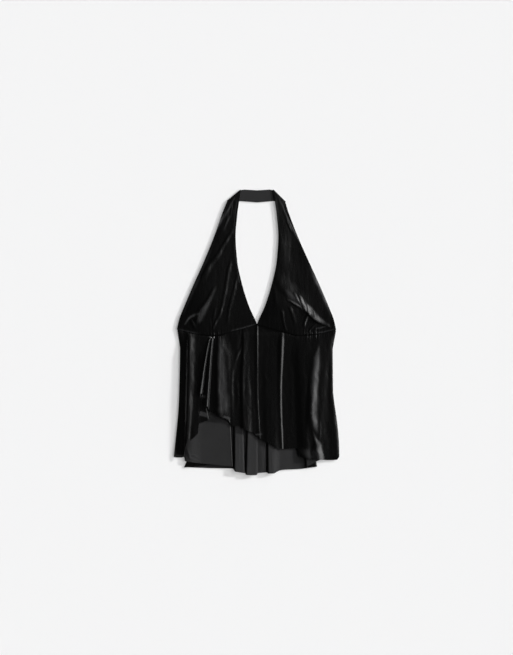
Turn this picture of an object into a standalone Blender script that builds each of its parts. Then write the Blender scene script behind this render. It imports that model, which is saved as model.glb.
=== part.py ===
"""A backless halter top in stretch velvet, laid flat on a surface with its front up.

Four cut pieces, each a thin wall and an object of its own:
  cup_right, cup_left   a cup cut in one with its halter strap and half of the neckband. The strap
                        folds under itself on a slant, so the neckband shows its wrong side.
  peplum_back           the long back skirt, wrong side up, with a wide pleat at each side and
                        three flutes at the centre of its hem.
  peplum_front          the front skirt, which falls over the back one. Its hem climbs to two
                        pinched flutes on the wearer's right.
The wearer's right is at -X. Lengths in the tables are millimetres, +Y runs from hem to neck, and
Z = 0 is the surface that the top lies on. The origin is under the middle of the whole top.
"""

from collections import namedtuple
import math

import bmesh
import bpy
import numpy as np

MM = 0.001

# Driving sizes, in millimetres.
CUP_WALL = 1.5
SKIRT_WALL = 1.2
SEAM_GAP = 0.4
LAYER_GAP = 0.5
STRAP_ROLL = 0.95          # radius of the strap's slanting fold, at the middle of the cloth
CUP_CROWN = 6.0            # how far a cup's fullness stands up
DRAPE_SLOPE = 0.3          # how steeply the front falls away beside what lies under it
DRAPE_REACH = 4.0          # how far the front stays up beside it
CELL = 2.0                 # grid step of the map of heights that the front is laid over

# The seam under the cups, from the centre out to a side. It is the same on both sides.
SeamPoint = namedtuple("SeamPoint", "x y")
UNDERBUST = [
    SeamPoint(0, 16),
    SeamPoint(28, 7.5),
    SeamPoint(52, 1.5),
    SeamPoint(90, -7.5),
    SeamPoint(122, -4.5),
    SeamPoint(167, 5),
]

# A cup from its seam up to the strap: where its outer edge and the neck edge lie.
CupRow = namedtuple("CupRow", "outer_x outer_y inner_x inner_y crown")
CUP = [
    CupRow(167, 5.2, 0.2, 16.2, 0.2),
    CupRow(162.8, 25.2, 4.2, 27, 0.8),
    CupRow(152.8, 50.4, 15.1, 50.4, 1.0),
    CupRow(131.3, 100.8, 31.3, 100.8, 0.6),
    CupRow(108.5, 151.2, 41.6, 151.2, 0.3),
    CupRow(87.2, 201.6, 44.8, 201.6, 0.1),
    CupRow(68.7, 252, 40.7, 252, 0),
]
# The slanting fold across the strap, and the end of the half neckband at the centre back.
FOLD = CupRow(60.5, 274.3, 34, 298.0, 0)
BAND_JOIN = CupRow(34, 275.6, 26, 299.0, 0)
BAND_END = CupRow(SEAM_GAP / 2, 273.8, SEAM_GAP / 2, 297.4, 0)
RIGHT_EXTRA = 1.0          # how much further to the wearer's right the outer edges of both lie
RIGHT_STRAP_EXTRA = 2.0    # and how much more up the straps
LEFT_FOLD_DROP = 1.5       # how much lower the left strap's fold ends

# Fold lines of the front skirt, from the wearer's right to the left. Each runs from the seam
# through the nip just below it and the middle to the hem, and lifts off what it lies on.
Fold = namedtuple("Fold", "seam nip middle hem hem_y lift_nip lift_middle lift_hem")
FRONT = [
    Fold(-167.3, -161.3, -163.6, -174.3, -262, 0, 0, 0),                      # side edge
    Fold(-161, -155.5, -157, -167, -263, 0.8, 1, 1),
    Fold(-153, -151.5, -152, -159, -263, 0.6, 0.8, 1),
    Fold(-149, -147.8, -149.5, -153.5, -261, 1.2, 1.6, 1.6),
    Fold(-142.5, -142, -144, -147.5, -234, 4.4, 4.4, 3.4),              # side crest
    Fold(-129, -128, -131, -138.5, -226, 0.5, 0.8, 0.9),
    Fold(-120, -120.5, -126.5, -129, -218, 0.3, 0.5, 1),
    Fold(-110, -113, -120, -122.5, -209, 0.5, 1, 1.2),                  # foot of the cascade
    Fold(-104, -108, -119.5, -122, -193, 0.5, 0.8, 1),
    Fold(-98, -103, -113.5, -101, -181, 0.8, 1.2, 1),                    # under the flutes
    Fold(-96.6, -100.6, -111.4, -119.8, -128.5, 3, 6.4, 7.6),           # outer flute
    Fold(-95.9, -99.2, -108.8, -115.2, -129.2, 2.2, 5.0, 5.2),
    Fold(-95, -98, -107.6, -114.2, -138, 1, 2.2, 2.4),                  # between the flutes
    Fold(-91.8, -94.8, -100.9, -106.2, -155, 3, 6.2, 7.4),              # inner flute
    Fold(-90.0, -92.8, -98.3, -102.6, -156.5, 1.8, 5, 5.5),
    Fold(-88.8, -91.6, -96.8, -101, -162.5, 0.8, 1.6, 2.2),
    Fold(-85, -86.5, -89, -90.5, -168, 1.2, 2.2, 2.6),
    Fold(-80.5, -80.5, -82.5, -79.5, -175, 3.2, 5.2, 6.0),              # wide crest
    Fold(-74, -73.5, -75, -71, -179.5, 1.8, 3.4, 4.2),
    Fold(-67, -66.5, -67, -60, -185, 0.6, 1.4, 1.9),
    Fold(-62.5, -61.5, -60.5, -56.8, -190, 0.3, 0.5, 1.0),
    Fold(-57, -57, -56, -54.5, -195, 0.3, 0.4, 0.6),
    Fold(-42, -41, -52.5, -50.3, -197.5, 1.0, 1.1, 0.9),                # low crest
    Fold(-34.5, -34, -45, -43.5, -197, 0.3, 0.4, 0.5),
    Fold(-31.5, -31.5, -36.5, -34.5, -197.5, 0.3, 0.4, 0.6),
    Fold(-28, -27.5, -29.5, -27, -203.5, 1.9, 4.4, 4.6),                # beside the centre
    Fold(-16, -15.5, -12, -8.5, -210.5, 0.4, 0.5, 0.7),
    Fold(-6.5, -6.5, -6.5, -2, -216, 0.3, 0.4, 0.6),
    Fold(0.2, 0.1, 0.1, 5.2, -222, 1.6, 1.2, 1.4),                      # centre crest
    Fold(3.2, 3.1, 3.2, 8.4, -225, 0.4, 0.5, 0.7),
    Fold(10, 10, 9, 14, -228, 0.3, 0.4, 0.6),
    Fold(24, 24, 22, 30, -235.5, 0.2, 0.4, 0.6),
    Fold(44, 43, 39.5, 43, -243.5, 0.4, 0.6, 0.8),
    Fold(52.2, 51.4, 48.4, 52.4, -244.5, 2.9, 2.0, 2.0),                # thin crest
    Fold(59, 58.2, 53.1, 56.2, -244, 0.3, 0.4, 0.6),
    Fold(72, 70, 66, 70, -244, 0.4, 0.5, 0.8),
    Fold(95, 92, 84, 83.5, -244, 0.5, 0.8, 1),
    Fold(106, 102, 94, 89, -258, 0.8, 1.2, 1.4),
    Fold(115, 111, 102, 99, -263.5, 1.2, 2, 2.0),
    Fold(128.5, 126, 112.4, 126.5, -267, 3.2, 5.2, 5.2),                # broad crest
    Fold(138, 136, 126, 142, -268, 0.6, 0.8, 1),
    Fold(150, 147, 146, 153, -268.5, 0.6, 0.9, 1),
    Fold(161, 154.5, 155.5, 167, -268, 0.6, 0.9, 1.2),
    Fold(166, 158.8, 159.8, 172.5, -262, 0, 0, 0),                      # side edge
]
FRONT_DOWN = [0, 0.05, 0.11, 0.22, 0.34, 0.46, 0.58, 0.69, 0.8, 0.9, 1]
FRONT_STATIONS = [0, 0.1, 0.55, 1]
SEAM_LIFT = 0.3            # share of a fold's lift at the nip that it already has at the seam

# Pleat and flute lines of the back skirt, from the wearer's right to the left. They run straight
# from the yoke line, a little below the top edge, to the hem.
Pleat = namedtuple("Pleat", "top yoke hem hem_y lift_yoke lift_hem")
BACK = [
    Pleat(-167, -161, -174, -260, 0, 0),                                # side edge
    Pleat(-158, -152, -163, -262, 0.3, 0.8),
    Pleat(-151, -146, -152.5, -262.5, 1.8, 2.6),
    Pleat(-148, -143, -151, -270.5, 2.6, 3.6),
    Pleat(-142, -138, -139, -272.5, 3.3, 4.8),
    Pleat(-120, -112, -116, -275.5, 3.3, 3.3),                          # upper layer
    Pleat(-75, -66, -54, -281.5, 4.2, 4.4),
    Pleat(-73, -63.5, -50.5, -282, 3.4, 3.6),                           # its folded edge
    Pleat(-71, -62, -54, -282, 2.6, 2.8),
    Pleat(-68, -60, -100, -279.5, 2.0, 2.0),                            # middle layer, turned
    Pleat(-66, -58, -150, -284, 1.5, 1.5),
    Pleat(-64, -56.5, -152.5, -284, 0.75, 0.75),                          # its folded edge
    Pleat(-62, -55, -150, -283.5, 0, 0),
    Pleat(-60, -53, -100, -285.6, 0, 0),                                # lowest layer
    Pleat(-55, -49.5, -52, -286.4, 0, 0),
    Pleat(-50, -48, -47.8, -289.5, 0, 0.9),
    Pleat(-46, -46, -46, -292, 0.4, 6.4),                               # first flute
    Pleat(-38, -40, -36, -294, 0.2, 5.6),
    Pleat(-30, -36.5, -27, -295.5, 0, 4.6),
    Pleat(-28, -35, -24.8, -296, 0, 0.8),
    Pleat(-20, -16.5, -23.6, -298, 0, 1.0),
    Pleat(-16, -14.5, -21.6, -299.5, 0.3, 6.0),                         # second flute
    Pleat(-8, -8, -10, -300, 0.2, 5.0),
    Pleat(-2, -1, -0.5, -299.5, 0, 4.2),
    Pleat(0.8, 1, 1.5, -296, 0, 3.0),
    Pleat(7, 7, 9, -295, 0, 3.6),
    Pleat(14, 13, 17, -294.6, 0, 3.4),
    Pleat(16, 16, 20, -294.6, 0, 0.7),
    Pleat(20, 19, 22.4, -295.5, 0, 0.9),
    Pleat(23, 22, 24.4, -296.5, 0.3, 6.2),                              # third flute
    Pleat(32, 33, 34, -296.5, 0.2, 5.4),
    Pleat(40, 43, 42, -293, 0, 2.6),
    Pleat(50, 52, 48, -290.3, 0, 1.2),
    Pleat(60, 60, 60, -288.8, 0, 0.8),
    Pleat(76, 72, 85, -288, 0, 0),                                    # lowest layer
    Pleat(81, 79, 123.5, -283, 0, 0),
    Pleat(83, 80.5, 126, -282.6, 0.75, 0.75),                           # its folded edge
    Pleat(85, 82, 123.5, -282.6, 1.5, 1.5),
    Pleat(88, 85, 115, -283.4, 1.8, 1.8),                               # middle layer, turned
    Pleat(91, 88, 106.5, -284, 2.1, 2.1),
    Pleat(93, 89.5, 103.5, -284, 2.85, 2.85),                           # its folded edge
    Pleat(95, 92, 106.5, -281, 3.6, 3.6),
    Pleat(120, 112, 117, -276, 3.3, 3.6),                               # upper layer
    Pleat(150, 144, 126.5, -270.5, 2, 3),
    Pleat(158, 150.5, 148, -263, 0.3, 0.8),
    Pleat(166, 158.8, 172, -260, 0, 0),                                 # side edge
]
BACK_DOWN = [0, 0.07, 0.15, 0.3, 0.5, 0.7, 0.85, 1]
BACK_STATIONS = [0, 0.15, 1]
BACK_DIP = 10.0            # how far the back's top edge dips below the line between the side seams
SIDE_BOW = 5.5             # how far its side edges bow in between the yoke and the hem
CREST_SWING = 1.5          # how far the broad crest swings in above its hem
LEFT_FLARE = 4.8           # how far the front swings out above its hem on the wearer's left

# Colour, roughness and sheen of the two faces of the cloth.
Finish = namedtuple("Finish", "colour roughness sheen")
VELVET = Finish((0.006, 0.006, 0.006), 0.7, 0.4)
WRONG_SIDE = Finish((0.022, 0.022, 0.023), 0.85, 0.1)


def curve_through(stations, values, at):
    """Values at the places `at` on curves through the stations, which never overshoot: a slope is
    the harmonic mean of its neighbours' slopes, or level where they differ in sign."""
    stations, values, at = (np.asarray(each, float) for each in (stations, values, at))
    step = np.diff(stations)
    step = step.reshape((-1,) + (1,) * (values.ndim - 1))
    rise = np.diff(values, axis=0) / step
    slope = np.concatenate([rise[:1], np.zeros_like(rise[1:]), rise[-1:]])
    before, after = rise[:-1], rise[1:]
    same_way = before * after > 0
    total = np.where(same_way, before + after, 1)
    slope[1:-1] = np.where(same_way, 2 * before * after / total, 0)
    left = np.clip(np.searchsorted(stations, at, side="right") - 1, 0, len(stations) - 2)
    width = step[left]
    t = ((at - stations[left]) / step.reshape(-1)[left]).reshape((-1,) + (1,) * (values.ndim - 1))
    return (
        (1 + 2 * t) * (1 - t) ** 2 * values[left]
        + t * (1 - t) ** 2 * width * slope[left]
        + t**2 * (3 - 2 * t) * values[left + 1]
        + t**2 * (t - 1) * width * slope[left + 1]
    )


def seam_y(x):
    """Height of the underbust seam at x."""
    return curve_through(
        [p.x for p in UNDERBUST], [p.y for p in UNDERBUST], np.abs(np.ravel(x))
    ).reshape(np.shape(x))


def across(rows, parts):
    """Places along the rows of a table: each row, and parts - 1 places between two rows."""
    return np.linspace(0, len(rows) - 1, (len(rows) - 1) * parts + 1)


def column(rows, name, places):
    """One column of a table as a curve through its rows."""
    return curve_through(range(len(rows)), [getattr(row, name) for row in rows], places)


def back_surface(parts, down):
    """Points of the back skirt's middle surface, shaped (down, across, 3). Row by row, x runs from
    the top edge to the yoke and on to the hem, y in proportion, and the lift likewise. Near the
    side edges x bows in by a parabola."""
    places = across(BACK, parts)
    top_x = column(BACK, "top", places)
    top_y = -BACK_DIP + (BACK_DIP + 3) * (np.abs(top_x) / 166) ** 4
    hem_y = column(BACK, "hem_y", places)
    down = np.asarray(down, float)
    below_yoke = np.clip((down - BACK_STATIONS[1]) / (1 - BACK_STATIONS[1]), 0, 1)[:, None]
    bow = SIDE_BOW * 4 * below_yoke * (1 - below_yoke) * np.sign(top_x) * (np.abs(top_x) / 166) ** 6

    def straight(values):
        return np.stack([np.interp(down, BACK_STATIONS, v) for v in np.transpose(values)], axis=1)

    x = straight([top_x, column(BACK, "yoke", places), column(BACK, "hem", places)]) - bow
    lift = straight(
        [0 * top_x, column(BACK, "lift_yoke", places), column(BACK, "lift_hem", places)]
    )
    y = top_y + (hem_y - top_y) * down[:, None]
    return np.stack([x, y, lift + SKIRT_WALL / 2], axis=2)


def drape_map(points):
    """Height of cloth laid over points: the highest point near each grid place, falling away at
    DRAPE_SLOPE past DRAPE_REACH, and never below the surface. Returns the grid's corner and it."""
    flat = points.reshape(-1, 3)
    low = flat[:, :2].min(axis=0) - 30
    size = ((flat[:, :2].max(axis=0) + 30 - low) / CELL).astype(int) + 1
    heights = np.full(size, -1e3)
    place = ((flat[:, :2] - low) / CELL).round().astype(int)
    np.maximum.at(heights, (place[:, 0], place[:, 1]), flat[:, 2])
    draped = np.full(size, SKIRT_WALL / 2)
    reach = 9
    for i in range(-reach, reach + 1):
        for j in range(-reach, reach + 1):
            fall = DRAPE_SLOPE * max(0.0, CELL * math.hypot(i, j) - DRAPE_REACH)
            moved = np.roll(heights, (i, j), axis=(0, 1)) + SKIRT_WALL + LAYER_GAP - fall
            draped = np.maximum(draped, moved)
    return low, draped


def height_on(drape, x, y):
    """Height of a drape map at places, straight between its grid's values."""
    low, draped = drape
    gx, gy = (x - low[0]) / CELL, (y - low[1]) / CELL
    i = np.clip(gx.astype(int), 0, draped.shape[0] - 2)
    j = np.clip(gy.astype(int), 0, draped.shape[1] - 2)
    s, t = gx - i, gy - j
    return (
        draped[i, j] * (1 - s) * (1 - t)
        + draped[i + 1, j] * s * (1 - t)
        + draped[i, j + 1] * (1 - s) * t
        + draped[i + 1, j + 1] * s * t
    )


def front_surface(parts, down, drape):
    """Points of the front skirt's middle surface: its fold lines between the underbust seam and
    the hem, lifted off the drape map of what it lies on."""
    places = across(FRONT, parts)
    seam_x = column(FRONT, "seam", places)
    x = curve_through(
        FRONT_STATIONS,
        [seam_x] + [column(FRONT, name, places) for name in ("nip", "middle", "hem")],
        down,
    )
    nip = column(FRONT, "lift_nip", places)
    lift = curve_through(
        FRONT_STATIONS,
        [SEAM_LIFT * nip, nip, column(FRONT, "lift_middle", places),
         column(FRONT, "lift_hem", places)],
        down,
    )
    down = np.asarray(down, float)
    swing = np.sin(math.pi * np.clip((down - 0.5) / 0.5, 0, 1))[:, None]
    x += LEFT_FLARE * swing * np.clip((seam_x - 145) / 21, 0, 1)
    x -= CREST_SWING * swing * np.exp(-(((seam_x - 131) / 14) ** 2))
    top_y = seam_y(seam_x) - SEAM_GAP / 2
    hem_y = column(FRONT, "hem_y", places)
    y = top_y + (hem_y - top_y) * down[:, None]
    return np.stack([x, y, height_on(drape, x, y) + lift], axis=2)


def cup_surface(side):
    """Points of one cup with its strap and half neckband. Each row goes from the outer edge to the
    neck edge: up the cup and the strap, round the slanting fold, and along the neckband."""
    up_cup = np.concatenate([np.linspace(0, 3, 13), np.linspace(3, 6, 8)[1:]])
    edge = {name: column(CUP, name, up_cup) for name in CupRow._fields}
    t = np.linspace(0, 1, 11)[None, :]
    up_strap = np.clip((edge["outer_y"] - 140) / 110, 0, 1)
    widen = -side * (RIGHT_EXTRA + RIGHT_STRAP_EXTRA * up_strap)

    def row_between(start, end):
        return start[:, None] * (1 - t) + end[:, None] * t

    x = row_between(edge["outer_x"] + widen, edge["inner_x"])
    y = row_between(edge["outer_y"], edge["inner_y"])
    share = (1 - up_cup[:, None] / 6) ** 6
    y += share * (seam_y(x[:1]) + SEAM_GAP / 2 - y[:1])
    crown = CUP_CROWN * edge["crown"][:, None] * np.sin(math.pi * t) ** 2
    climb = np.clip((y - 205) / 45, 0, 1)
    z = CUP_WALL / 2 + crown + 2 * STRAP_ROLL * climb**2 * (3 - 2 * climb)
    rows = [np.stack([x, y, z], axis=2)]

    fold_out = FOLD.outer_x - side * RIGHT_STRAP_EXTRA / 2 + max(-side, 0) * RIGHT_EXTRA
    start = np.array([fold_out, FOLD.outer_y - max(side, 0) * LEFT_FOLD_DROP])
    end = np.array([FOLD.inner_x, FOLD.inner_y])
    outward = np.array([end[1] - start[1], start[0] - end[0]])
    outward /= np.linalg.norm(outward)
    for angle in np.linspace(0, math.pi, 7):
        line = start * (1 - t.T) + end * t.T + outward * STRAP_ROLL * math.sin(angle)
        height = CUP_WALL / 2 + STRAP_ROLL * (1 + math.cos(angle))
        rows.append(np.column_stack([line, np.full(len(line), height)])[None])

    join = [BAND_JOIN, BAND_END]
    for share in np.linspace(0, 1, 5):
        out_x, out_y, in_x, in_y, _ = (
            a + (b - a) * share for a, b in zip(*join)
        )
        line = np.array([out_x, out_y]) * (1 - t.T) + np.array([in_x, in_y]) * t.T
        rows.append(np.column_stack([line, np.full(len(line), CUP_WALL / 2)])[None])
    points = np.concatenate(rows)
    points[:, :, 0] *= side
    return points


def material(name, finish):
    made = bpy.data.materials.new(name)
    made.use_nodes = True
    shader = made.node_tree.nodes["Principled BSDF"]
    shader.inputs["Base Color"].default_value = (*finish.colour, 1)
    shader.inputs["Roughness"].default_value = finish.roughness
    shader.inputs["Metallic"].default_value = 0
    shader.inputs["Sheen Weight"].default_value = finish.sheen
    return made


def cloth(name, points, wall, finish, collection):
    """One piece of cloth: a grid of its middle surface, given its wall by Solidify."""
    down, wide = points.shape[:2]
    corner = (np.arange(down - 1)[:, None] * wide + np.arange(wide - 1)).ravel()
    faces = np.column_stack([corner, corner + wide, corner + wide + 1, corner + 1])
    mesh = bpy.data.meshes.new(name)
    mesh.from_pydata((points.reshape(-1, 3) * MM).tolist(), [], faces.tolist())
    built = bmesh.new()
    built.from_mesh(mesh)
    bmesh.ops.recalc_face_normals(built, faces=built.faces)
    built.to_mesh(mesh)
    built.free()
    mesh.materials.append(material(name, finish))
    piece = bpy.data.objects.new(name, mesh)
    collection.objects.link(piece)
    solid = piece.modifiers.new("wall", "SOLIDIFY")
    solid.thickness = wall * MM
    solid.offset = 0
    mesh.shade_smooth()
    return piece


def main():
    for each in list(bpy.data.objects):
        bpy.data.objects.remove(each, do_unlink=True)
    top = bpy.data.collections.new("halter_top")
    bpy.context.scene.collection.children.link(top)

    cloth("cup_right", cup_surface(-1), CUP_WALL, VELVET, top)
    cloth("cup_left", cup_surface(1), CUP_WALL, VELVET, top)
    cloth("peplum_back", back_surface(2, BACK_DOWN), SKIRT_WALL, WRONG_SIDE, top)
    drape = drape_map(back_surface(10, np.linspace(0, 1, 61)))
    cloth("peplum_front", front_surface(2, FRONT_DOWN, drape), SKIRT_WALL, VELVET, top)


main()
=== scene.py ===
"""Looks of a backless halter top in black stretch velvet, laid flat with its front up.

Each piece is one closed shell of cloth: a grid of points worked out with numpy, given a wall of its
own, with the velvet's pile on one face and its matt knit on the other. The tables are in
millimetres, in the frame's own axes: +X to the wearer's left, +Y from the hem to the neckband, and
Z = 0 the surface that the top lies on.
"""

from collections import namedtuple
import math

import bpy
import numpy as np
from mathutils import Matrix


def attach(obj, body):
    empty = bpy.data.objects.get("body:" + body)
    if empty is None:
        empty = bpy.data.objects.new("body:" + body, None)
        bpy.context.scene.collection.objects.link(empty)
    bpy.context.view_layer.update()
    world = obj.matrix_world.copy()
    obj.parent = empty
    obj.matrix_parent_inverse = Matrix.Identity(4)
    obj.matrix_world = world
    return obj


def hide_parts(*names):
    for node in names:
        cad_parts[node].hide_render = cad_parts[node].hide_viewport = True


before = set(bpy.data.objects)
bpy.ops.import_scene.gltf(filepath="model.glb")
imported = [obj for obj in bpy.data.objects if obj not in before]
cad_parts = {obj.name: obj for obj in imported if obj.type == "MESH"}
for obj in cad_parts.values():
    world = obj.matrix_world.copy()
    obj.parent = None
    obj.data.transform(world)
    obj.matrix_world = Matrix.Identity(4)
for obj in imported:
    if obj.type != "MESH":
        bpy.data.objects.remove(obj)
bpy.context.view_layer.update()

MM = 0.001
WALL = 0.9                 # the cloth as it shows, thinner than its solid
SKIRT_WALL = 1.2           # the solids' walls, whose middle surfaces the cloth follows
CUP_WALL = 1.5
LAYER_GAP = 0.5
SEAM_GAP = 0.4
REST = 0.1                 # height at which the lowest cloth begins
RUFFLE = 0.16              # height of the small unevenness that is all over the velvet
CUP_RUFFLE = 0.35          # share of it on the cups, which are stretched smoother

# The cups. Heights along them are measured up the garment from the middle of the top.
RIGHT_LEAN = 0.05          # how steeply the pile leans towards the wearer's left on each cup
LEFT_LEAN = 0.14
LEAN_FROM = 20.0           # height at which the pile begins to lean, and over what height it does
LEAN_OVER = 70.0
LEFT_LEAN_END = 88.0       # where across the left cup it stops leaning, and how gently
LEAN_EASE = 22.0
STRAP_FROM = 140.0         # height at which a cup begins to narrow into its strap, and over what
STRAP_OVER = 110.0
STRAP_ROLL = 0.95          # radius of the strap's slanting fold
CUP_CROWN = 4.2            # how far a cup's fullness stands above its edges
EDGE_STAND = 2.65          # height of the middle of the cloth at a cup's turned edges
EDGE_TURN = 5.0            # width of the turned edges, which are thick enough to rest
STRAP_TURN = 250.0         # how far up the straps they reach, and over what height they end
TURN_END = 14.0
EDGE_ROLL = 1.9            # how far the outer edge over the wearer's left breast rolls down
ROLL_WIDTH = 6.0
ROLL_FROM, ROLL_RISE = 24.0, 40.0       # where up the cup the roll begins, and over what height
ROLL_END, ROLL_FALL = 165.0, 50.0       # where it ends, and over what height
SEAM_SINK = 0.6            # how far the cup sinks into its seam, and how near the seam
SINK_REACH = 1.6
STITCH_LINE = 1.6          # how far above the seam its stitches lie, and how broad they are
STITCH_WIDTH = 1.4
CUP_WIDE = 141             # points across a cup's grid
CUP_ROWS = 211             # rows of it up to the strap's end
CREASED_ROWS = 111         # how many of them lie up to the middle of its table, closer together
FOLD_ROWS = 13             # rows to the strap's fold, and round it
BAND_ROWS = 33             # rows along half of the neckband

# The front skirt.
DRAPE_SLOPE = 0.3          # how steeply it falls away beside what lies under it
DRAPE_REACH = 4.0          # how far it stays up beside that
CELL = 2.0                 # grid step of the map of heights that it is laid over
DRAPE_CELLS = 9            # how many cells away a height still holds it up
SEAM_TUCK = 1.6            # how far it runs up under the cups at the seam
SEAM_DEPTH = 0.6           # how low it lies there
SEAM_EASE = 6.0            # how far below the seam it has come up again
SEAM_LIFT = 0.3            # share of a fold's lift at the nip that it already has at the seam
SWING_FROM = 0.5           # how far down it begins to swing, as a share of its length
LEFT_FLARE = 4.8           # how far it swings out on the wearer's left
FLARE_FROM, FLARE_OVER = 145.0, 21.0    # where along the seam, and over what length
CREST_SWING = 3.0          # how far the broad crest swings in
SWING_CENTRE, SWING_REACH = 131.0, 14.0
CREST_FADE = 0.75          # what share of the broad crest's height ends above the hem
FADE_FROM, FADE_OVER = 0.68, 0.14       # how far down, as shares of the skirt's length
FADE_CENTRE, FADE_REACH = 128.5, 9.0

# The back skirt.
BACK_HALF = 166.0          # half its width at the top edge
BACK_DIP = 10.0            # how far its top edge dips below the seam line at the middle
BACK_RISE = 3.0            # and how far above the line it is at the sides
SIDE_BOW = 5.5             # how far its sides bow in
RAISED = 3.0               # height over which its folds' upper layers lie

# How many points the skirts' grids have across and down, and the map's under the front.
Grid = namedtuple("Grid", "across down")
BACK_GRID = Grid(330, 131)
FRONT_GRID = Grid(300, 151)
MAP_GRID = Grid(400, 161)
LEAST_RUN = 0.06           # length that each step counts for at least when points are spread
HEM_CROWD = 1.2            # how much closer the front's rows lie near the hem

# The seam under the cups, from the centre out to a side. It is the same on both sides.
SeamPoint = namedtuple("SeamPoint", "x y")
UNDERBUST = [
    SeamPoint(0, 16),
    SeamPoint(28, 7.5),
    SeamPoint(52, 1.5),
    SeamPoint(90, -7.5),
    SeamPoint(122, -4.5),
    SeamPoint(167, 5),
]

# A cup from its seam up to the strap: where its outer edge and the neck edge lie.
CupRow = namedtuple("CupRow", "outer_x outer_y inner_x inner_y crown")
CUP = [
    CupRow(167, 5.2, 0, 16.2, 0.2),
    CupRow(162.5, 25.2, 4.2, 27, 0.8),
    CupRow(152.8, 50.4, 15.1, 50.4, 1.0),
    CupRow(131.3, 100.8, 31.3, 100.8, 0.6),
    CupRow(108.5, 151.2, 41.6, 151.2, 0.3),
    CupRow(87.2, 201.6, 44.8, 201.6, 0.1),
    CupRow(68.7, 252, 40.7, 252, 0),
]
FOLD = CupRow(60.5, 274.3, 34, 298.0, 0)
BAND_JOIN = CupRow(34, 274.8, 26, 299.0, 0)
BAND_END = CupRow(0, 272.2, 0, 297.4, 0)
RIGHT_EXTRA = 1.0          # how much further to the wearer's right the outer edges of both lie
RIGHT_STRAP_EXTRA = 2.0    # and how much more up the straps
LEFT_FOLD_DROP = 1.5       # how much lower the left strap's fold ends

# Fold lines of the front skirt, from the wearer's right to the left. Each runs from the seam
# through the nip just below it and the middle to the hem, and lifts off what it lies on.
Fold = namedtuple("Fold", "seam nip middle hem hem_y lift_nip lift_middle lift_hem")
FRONT = [
    Fold(-167.3, -161.3, -163.6, -174.3, -262, 0, 0, 0),            # side edge
    Fold(-161, -155.5, -157, -167, -263, 0.8, 1, 1),
    Fold(-153, -151.5, -152, -159, -263, 0.6, 0.8, 1),
    Fold(-149, -147.8, -149.5, -153.5, -261, 1.2, 1.6, 1.6),
    Fold(-142.5, -142, -144, -147.5, -234, 4.4, 4.4, 3.4),          # side crest
    Fold(-129, -128, -131, -138.5, -226, 0.5, 0.8, 0.9),
    Fold(-120, -120.5, -126.5, -129, -218, 0.3, 0.5, 1),
    Fold(-110, -113, -120, -122.5, -209, 0.5, 1, 1.2),              # foot of the cascade
    Fold(-104, -108, -119.5, -122, -193, 0.5, 0.8, 1),
    Fold(-98, -103, -113.5, -101, -181, 0.8, 1.2, 1),               # under the flutes
    Fold(-97.2, -101.6, -112.6, -117.5, -138, 0.8, 1.2, 1.2),
    Fold(-96.6, -100.6, -111.4, -119.8, -128.5, 3, 6.4, 7.6),       # outer flute
    Fold(-95.9, -99.2, -108.8, -115.2, -129.2, 2.2, 5.0, 5.2),
    Fold(-95, -98, -107.6, -114.2, -138, 1, 2.2, 2.4),              # between the flutes
    Fold(-91.8, -94.8, -100.9, -106.2, -155, 3, 6.2, 7.4),          # inner flute
    Fold(-90.0, -92.8, -98.3, -102.6, -156.5, 1.8, 5, 5.5),
    Fold(-88.8, -91.6, -96.8, -101, -162.5, 0.8, 1.6, 2.2),
    Fold(-85, -86.5, -89, -90.5, -168, 1.2, 2.2, 2.6),
    Fold(-80.5, -80.5, -82.5, -79.5, -175, 3.2, 5.2, 6.0),          # wide crest
    Fold(-74, -73.5, -75, -71, -179.5, 1.8, 3.4, 4.2),
    Fold(-67, -66.5, -67, -60, -185, 0.6, 1.4, 1.9),
    Fold(-62.5, -61.5, -60.5, -56.8, -190, 0.3, 0.5, 1.0),
    Fold(-57, -57, -56, -54.5, -195, 0.3, 0.4, 0.6),
    Fold(-42, -41, -52.5, -50.3, -197.5, 1.0, 1.1, 0.9),            # low crest
    Fold(-34.5, -34, -45, -43.5, -197, 0.3, 0.4, 0.5),
    Fold(-31.5, -31.5, -36.5, -34.5, -197.5, 0.3, 0.4, 0.6),
    Fold(-28, -27.5, -29.5, -27, -203.5, 1.9, 4.4, 4.6),            # beside the centre
    Fold(-16, -15.5, -12, -8.5, -210.5, 0.4, 0.5, 0.7),
    Fold(-6.5, -6.5, -6.5, -2, -216, 0.3, 0.4, 0.6),
    Fold(0.2, 0.1, 0.1, 5.2, -222, 1.6, 1.2, 1.4),                  # centre crest
    Fold(3.2, 3.1, 3.2, 8.4, -225, 0.4, 0.5, 0.7),
    Fold(10, 10, 9, 14, -228, 0.3, 0.4, 0.6),
    Fold(24, 24, 22, 30, -235.5, 0.2, 0.4, 0.6),
    Fold(44, 43, 39.5, 43, -243.5, 0.4, 0.6, 0.8),
    Fold(52.2, 51.4, 48.4, 52.4, -244.5, 2.9, 2.0, 2.0),            # thin crest
    Fold(59, 58.2, 53.1, 56.2, -244, 0.3, 0.4, 0.6),
    Fold(72, 70, 66, 70, -244, 0.4, 0.5, 0.8),
    Fold(95, 92, 84, 83.5, -244, 0.5, 0.8, 1),
    Fold(106, 102, 94, 89, -258, 0.8, 1.2, 1.4),
    Fold(115, 111, 103.5, 99, -263.5, 0.8, 2, 2.0),
    Fold(128.5, 126, 114, 126.5, -267, 1.2, 4.8, 4.8),              # broad crest
    Fold(138, 136, 129, 142, -268, 0.5, 0.8, 1),
    Fold(150, 147, 146, 153, -268.5, 0.4, 0.4, 0.7),
    Fold(161, 154.5, 155.5, 167, -268, 0.6, 0.9, 1.2),
    Fold(166, 158.8, 159.8, 172.5, -262, 0, 0, 0),                  # side edge
]
FRONT_STATIONS = [0, 0.1, 0.55, 1]      # how far down seam, nip, middle and hem are, as shares

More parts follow.
